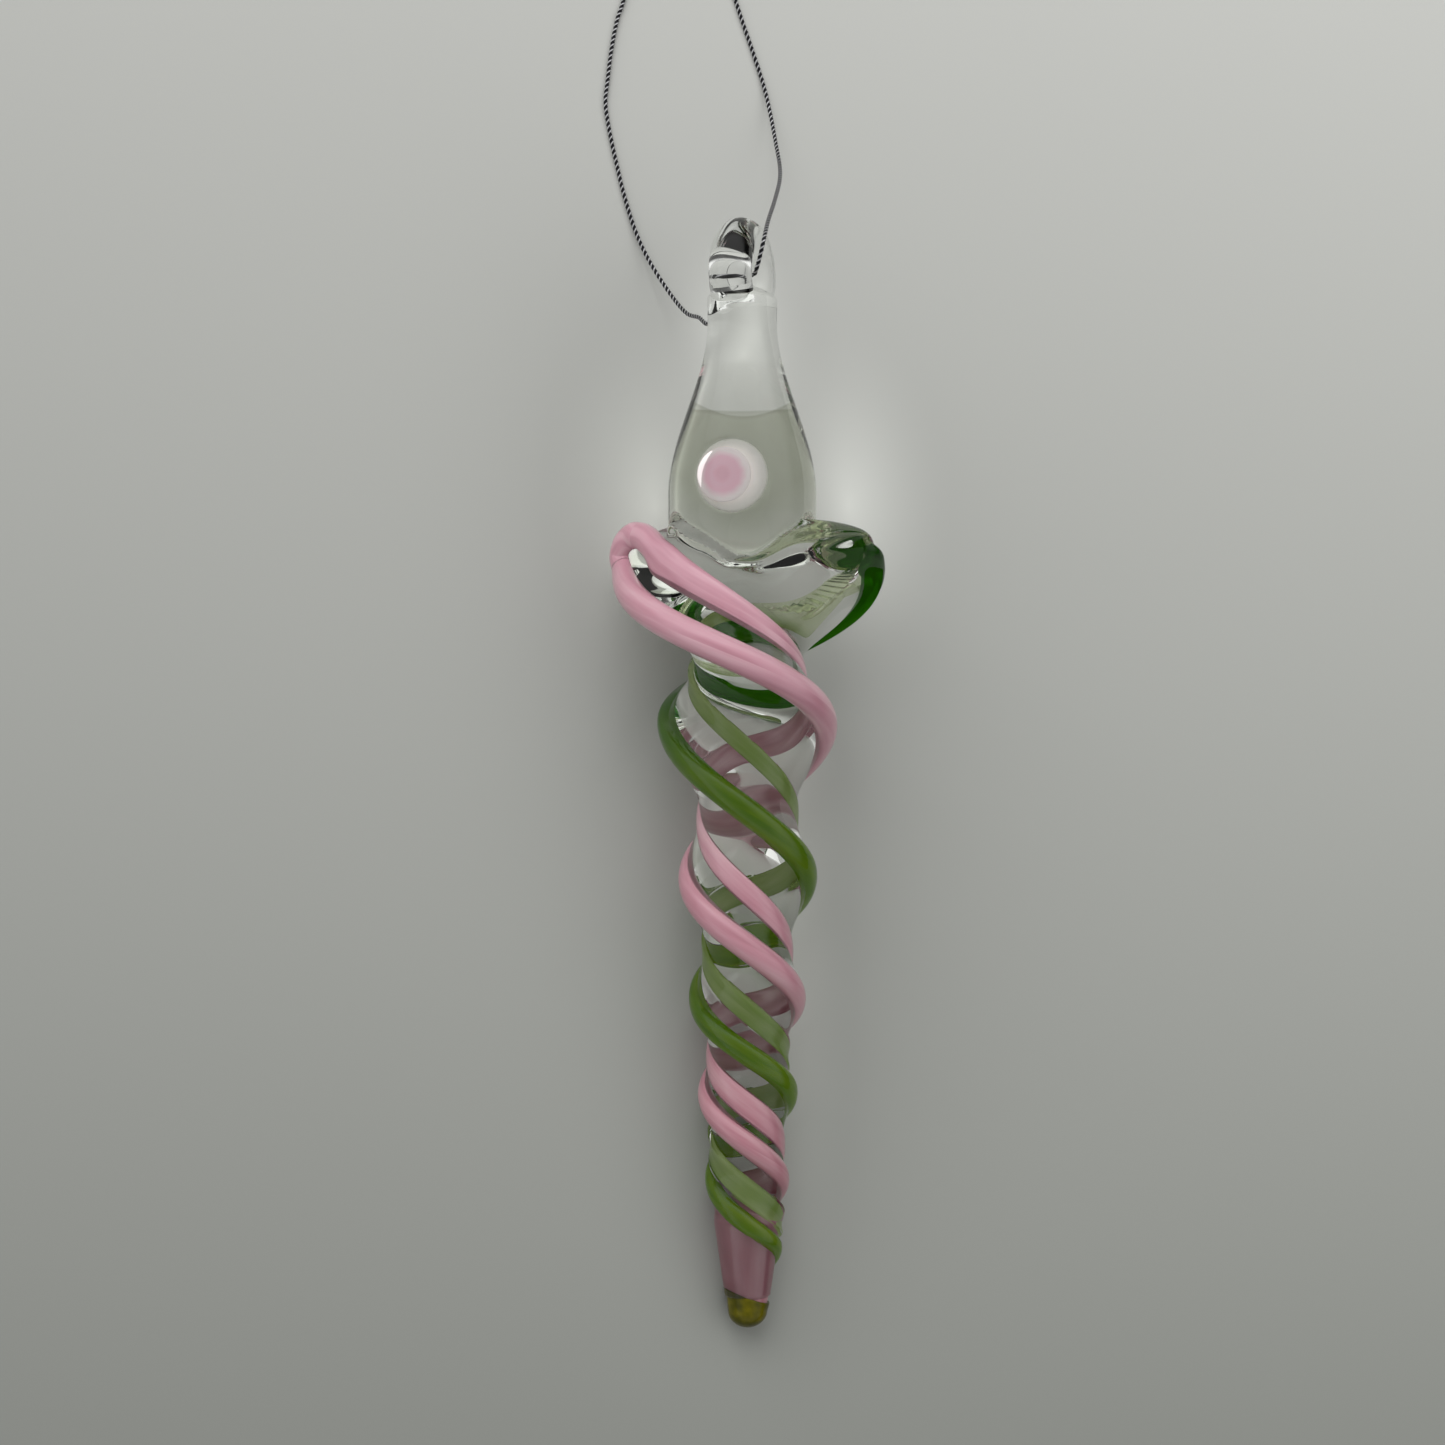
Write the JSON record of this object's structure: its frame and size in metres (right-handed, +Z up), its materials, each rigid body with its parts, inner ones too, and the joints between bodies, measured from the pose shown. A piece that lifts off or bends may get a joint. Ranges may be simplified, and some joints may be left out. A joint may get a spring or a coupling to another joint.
{
  "type": "hanging glass icicle ornament",
  "caption": "Lampworked glass icicle ornament: a clear head with a bent eye on a twisted clear ribbon edged in pink and green, on a loop of metallic thread.",
  "frame": {"origin": "on the surface that the ornament lies on, below the middle of the glass's own box", "axes": "+Y along the glass towards its eye, +X to the right of the side that faces up, +Z up from the surface"},
  "size_m": [0.0326, 0.2061, 0.0314],
  "materials": {
    "clear_glass": "clear polished glass, flame smooth",
    "pink_glass": "opaque rose glass, flame smooth",
    "green_glass": "deep transparent green glass, flame smooth",
    "white_glass": "opaque white glass, flame smooth",
    "olive_glass": "transparent olive glass, flame smooth",
    "metallic_thread": "twisted silver and black metallised thread"
  },
  "bodies": {
    "root": {"hanging_eye": "clear_glass", "head_gather": "clear_glass", "dot_white": "white_glass", "dot_pink": "pink_glass", "dot_lens": "clear_glass", "twisted_ribbon": "clear_glass", "pink_edge_strand": "pink_glass", "green_edge_strand": "green_glass", "pink_face_strand": "pink_glass", "green_face_strand": "green_glass", "tip_cone": "pink_glass", "tip_drop": "olive_glass", "cord_run_left": "metallic_thread", "cord_run_right": "metallic_thread", "cord_knot": "metallic_thread"}
  },
  "joints": []
}
